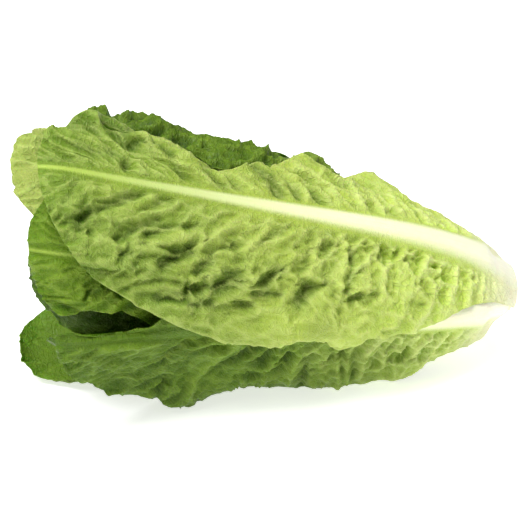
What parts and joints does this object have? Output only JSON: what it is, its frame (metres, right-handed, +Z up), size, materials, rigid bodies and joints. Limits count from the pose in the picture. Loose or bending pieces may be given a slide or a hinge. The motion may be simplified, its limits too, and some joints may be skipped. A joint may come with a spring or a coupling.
{
  "type": "romaine lettuce head",
  "caption": "Whole head of romaine lettuce lying on its side: long crinkled leaves with broad pale ribs, overlapping round a heart and joined at a cut butt.",
  "frame": {"origin": "middle of the bounding box, on the surface the head lies on", "axes": "+X from the leaf tips towards the cut butt, along the head's longest extent; +Z up; -Y is the side that the picture shows"},
  "size_m": [0.2988, 0.1598, 0.1766],
  "materials": {
    "outer_leaf": "crinkled leaf, satin, green with a pale rib",
    "inner_leaf": "crinkled leaf, satin, yellow-green",
    "heart_leaf": "young leaf, pale yellow-green",
    "butt": "cut stem, moist and creamy white"
  },
  "bodies": {
    "root": {"leaf_front": "outer_leaf", "leaf_back": "outer_leaf", "leaf_front_low": "outer_leaf", "leaf_top": "outer_leaf", "leaf_under": "outer_leaf", "leaf_second_front": "inner_leaf", "leaf_second_back": "inner_leaf", "leaf_second_under": "inner_leaf", "leaf_second_top": "inner_leaf", "leaf_third_back": "inner_leaf", "leaf_third_front": "inner_leaf", "leaf_third_top": "inner_leaf", "heart": "heart_leaf", "stem": "butt"}
  },
  "joints": []
}
